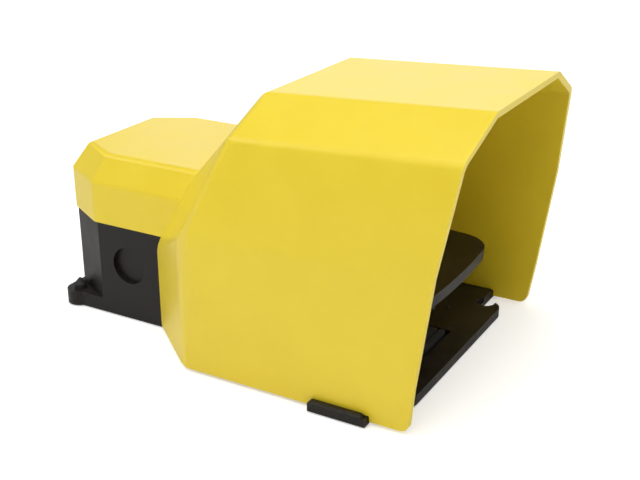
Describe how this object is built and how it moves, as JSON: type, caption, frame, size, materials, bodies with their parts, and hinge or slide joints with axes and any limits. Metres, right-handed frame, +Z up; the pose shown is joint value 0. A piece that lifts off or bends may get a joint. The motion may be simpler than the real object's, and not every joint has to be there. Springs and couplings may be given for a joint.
{
  "type": "foot switch",
  "caption": "Industrial foot switch: hinged pedal under a faceted protective hood, sealed switch box behind, contact block inside.",
  "frame": {"origin": "on the ground, under the centre of the whole switch's outline", "axes": "+X to the right seen by the user, +Y from the mouth of the hood towards the switch box, the way the foot enters, +Z up"},
  "size_m": [0.1788, 0.2666, 0.1546],
  "materials": {
    "hood_yellow": "satin",
    "base_black": "satin",
    "rubber": "matte",
    "steel": "satin",
    "contact_brass": "satin",
    "block_ivory": "satin",
    "plunger_red": "satin"
  },
  "bodies": {
    "housing": {"guard_hood": "hood_yellow", "base_housing": "base_black", "lid_gasket": "rubber", "hood_screws": "steel", "rear_feet": "rubber", "front_feet": "rubber", "pivot_pin": "steel", "pin_clips": "steel", "return_spring": "steel", "down_buffer": "rubber", "rest_buffer": "rubber", "switch_body": "block_ivory", "switch_cap": "block_ivory", "cap_screws": "steel", "switch_screws": "steel", "plunger_spring": "steel", "make_contacts": "contact_brass", "break_contacts": "contact_brass", "terminal_clamps": "steel", "terminal_screws": "steel"},
    "pedal": {"pedal": "base_black", "pivot_bushes": "contact_brass"},
    "plunger": {"plunger": "plunger_red", "make_bridge": "contact_brass", "break_bridge": "contact_brass", "contact_springs": "steel"}
  },
  "joints": [
    {"name": "pedal_tilt", "type": "hinge", "parent": "housing", "child": "pedal", "pos_m": [0, 0.10138, 0.043], "axis": [1, 0, 0], "range_deg": [0, 5.5], "stiffness_Nm_per_rad": 12, "springref_deg": -6.88, "deforming": ["return_spring"]},
    {"name": "plunger_travel", "type": "slide", "parent": "housing", "child": "plunger", "axis": [0, 0, -1], "range_m": [0, 0.0036], "stiffness_N_per_m": 300, "springref_m": -0.004, "deforming": ["plunger_spring"]}
  ],
  "couplings": [
    {"joint": "plunger_travel", "follows": "pedal_tilt", "m_per_rad": 0.036}
  ]
}
